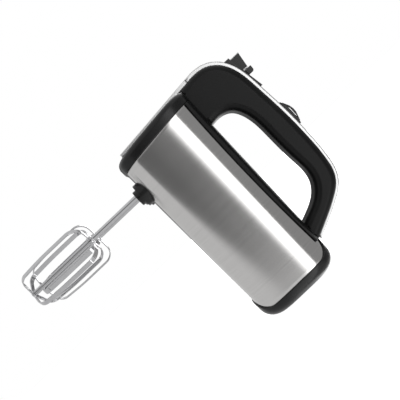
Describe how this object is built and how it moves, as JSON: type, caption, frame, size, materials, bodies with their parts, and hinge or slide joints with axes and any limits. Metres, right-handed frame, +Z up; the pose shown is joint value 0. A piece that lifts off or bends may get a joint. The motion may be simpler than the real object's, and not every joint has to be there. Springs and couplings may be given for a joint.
{
  "type": "hand mixer",
  "caption": "Hand-held electric mixer with a closed loop handle, steel-wrapped body, speed slider, eject key, boost button and removable wire beaters.",
  "frame": {"origin": "centre of the flat heel face that the mixer rests on when it is put down", "axes": "+Z up from the heel to the nose, +X towards the handle, so the beaters point along -X; Y is the width"},
  "size_m": [0.2943, 0.0861, 0.2187],
  "materials": {
    "brushed_steel": "brushed round the body",
    "gloss_black": "semi-gloss moulded",
    "satin_black": "fine satin grain",
    "satin_silver": "satin silver paint",
    "inner_plastic": "moulded",
    "spring_steel": "drawn wire",
    "die_cast": "as cast",
    "screw_steel": "turned, bright",
    "bronze": "sintered",
    "gear_nylon": "moulded, natural",
    "lamination": "stacked sheet",
    "copper_wire": "enamelled wire",
    "copper_bar": "turned copper",
    "brass": "pressed",
    "carbon": "pressed carbon",
    "board_green": "solder mask",
    "rubber_black": "moulded",
    "housing_plastic": "moulded",
    "chromed_steel": "chromed, bright"
  },
  "bodies": {
    "housing": {"armature_bearings": "bronze", "bezel_screws": "screw_steel", "brush_holders": "brass", "brush_springs": "spring_steel", "cap_screws": "screw_steel", "carbon_brushes": "carbon", "circuit_board": "board_green", "control_base": "gloss_black", "cord_gland": "rubber_black", "drive_nose_left": "gloss_black", "drive_nose_right": "gloss_black", "field_coils": "copper_wire", "front_bezel": "gloss_black", "front_trim": "satin_silver", "gear_frame": "die_cast", "gear_plate": "die_cast", "gear_screws": "screw_steel", "handle_left": "satin_black", "handle_right": "satin_black", "handle_screws": "screw_steel", "handle_trim": "satin_silver", "inner_housing_left": "housing_plastic", "inner_housing_right": "housing_plastic", "rear_bracket": "inner_plastic", "rear_cap": "gloss_black", "speed_switch": "inner_plastic", "spindle_bushes_lower": "bronze", "spindle_bushes_upper": "bronze", "stator_core": "lamination", "steel_sleeve": "brushed_steel", "terminal_block": "inner_plastic", "top_cover": "gloss_black", "turbo_frame": "gloss_black", "turbo_switch": "inner_plastic"},
    "armature": {"armature_shaft": "screw_steel", "drive_worm": "screw_steel", "armature_core": "lamination", "armature_windings": "copper_wire", "commutator": "copper_bar", "cooling_fan": "inner_plastic"},
    "spindle_left_drive": {"spindle_left": "screw_steel", "worm_wheel_left": "gear_nylon"},
    "spindle_right_drive": {"spindle_right": "screw_steel", "worm_wheel_right": "gear_nylon"},
    "beater_left": {"beater_shaft_left": "chromed_steel", "beater_cage_left": "chromed_steel"},
    "beater_right": {"beater_shaft_right": "chromed_steel", "beater_cage_right": "chromed_steel"},
    "slider": {"speed_slider": "gloss_black", "slider_shoe": "inner_plastic"},
    "key": {"eject_key": "gloss_black", "key_band": "satin_silver"},
    "ejector": {"ejector_yoke": "inner_plastic", "ejector_rod": "inner_plastic", "ejector_spring": "spring_steel"},
    "turbo": {"turbo_button": "gloss_black", "turbo_inlay": "satin_silver", "turbo_spring": "spring_steel"}
  },
  "joints": [
    {"name": "armature_spin", "type": "hinge", "parent": "housing", "child": "armature", "pos_m": [0, 0, 0.1], "axis": [0, 0, 1], "continuous": true},
    {"name": "spindle_left_spin", "type": "hinge", "parent": "housing", "child": "spindle_left_drive", "pos_m": [0, -0.02, 0.1683], "axis": [1, 0, 0], "continuous": true},
    {"name": "spindle_right_spin", "type": "hinge", "parent": "housing", "child": "spindle_right_drive", "pos_m": [0, 0.02, 0.1683], "axis": [1, 0, 0], "continuous": true},
    {"name": "beater_left_pull", "type": "slide", "parent": "spindle_left_drive", "child": "beater_left", "axis": [-1, 0, 0], "range_m": [0, 0.044]},
    {"name": "beater_right_pull", "type": "slide", "parent": "spindle_right_drive", "child": "beater_right", "axis": [-1, 0, 0], "range_m": [0, 0.044]},
    {"name": "speed_slide", "type": "slide", "parent": "housing", "child": "slider", "axis": [0.1564, 0, -0.9877], "range_m": [0, 0.012]},
    {"name": "eject_press", "type": "slide", "parent": "housing", "child": "key", "axis": [-1, 0, 0], "range_m": [0, 0.005], "stiffness_N_per_m": 1200},
    {"name": "ejector_slide", "type": "slide", "parent": "housing", "child": "ejector", "axis": [-1, 0, 0], "range_m": [0, 0.005], "deforming": ["ejector_spring"]},
    {"name": "turbo_press", "type": "slide", "parent": "housing", "child": "turbo", "axis": [-1, 0, 0], "range_m": [0, 0.002], "stiffness_N_per_m": 1500, "deforming": ["turbo_spring"]}
  ],
  "couplings": [
    {"joint": "spindle_left_spin", "follows": "armature_spin", "ratio": -0.03125},
    {"joint": "spindle_right_spin", "follows": "armature_spin", "ratio": 0.03125},
    {"joint": "ejector_slide", "follows": "eject_press", "ratio": 1}
  ]
}
